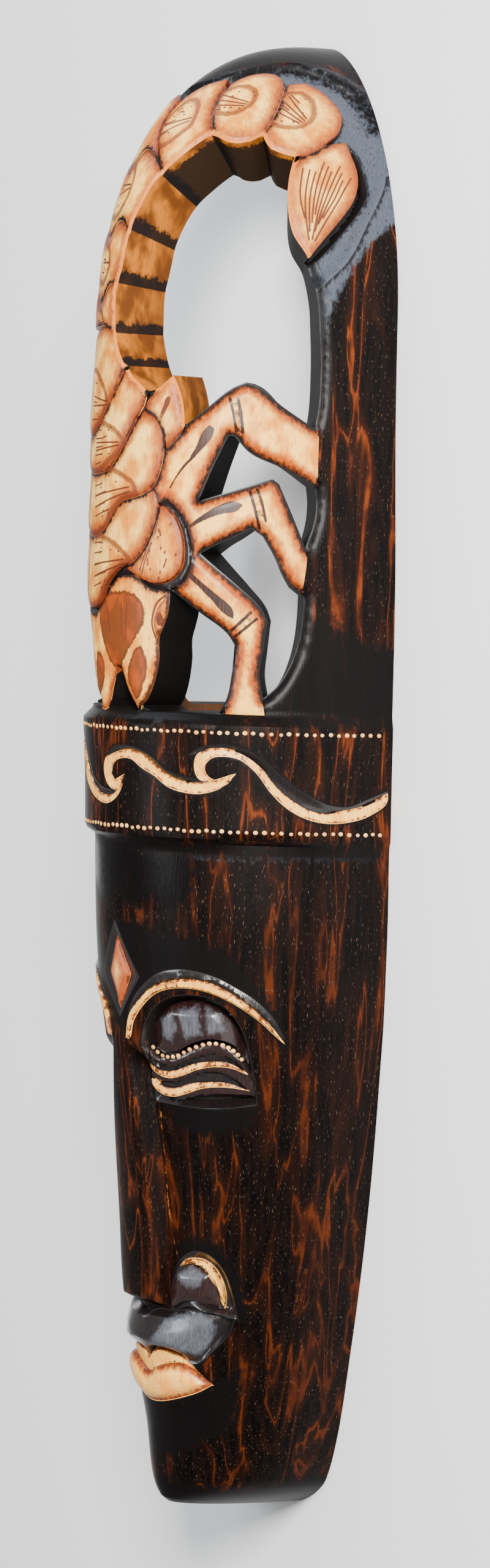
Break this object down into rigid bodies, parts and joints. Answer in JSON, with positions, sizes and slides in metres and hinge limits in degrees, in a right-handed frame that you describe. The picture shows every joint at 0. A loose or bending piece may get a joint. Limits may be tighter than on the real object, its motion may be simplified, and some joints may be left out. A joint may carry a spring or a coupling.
{
  "type": "wooden wall mask",
  "caption": "Long hollow wooden wall mask with a carved face, a wave headband and a scorpion carved through its crown, lying on its flat back.",
  "frame": {"origin": "middle of the flat back rim, halfway between chin and crown, on the surface that the mask lies on", "axes": "+Y from the chin to the crown, +Z out of the face, +X toward the wearer's left, which is the right of the picture"},
  "size_m": [0.2328, 1, 0.1687],
  "materials": {
    "stained_wood": "dark stain with burnt streaks and a satin varnish, bare carved wood on the scorpion and cream painted lines"
  },
  "bodies": {
    "root": {"scorpion_mask": "stained_wood"}
  },
  "joints": []
}
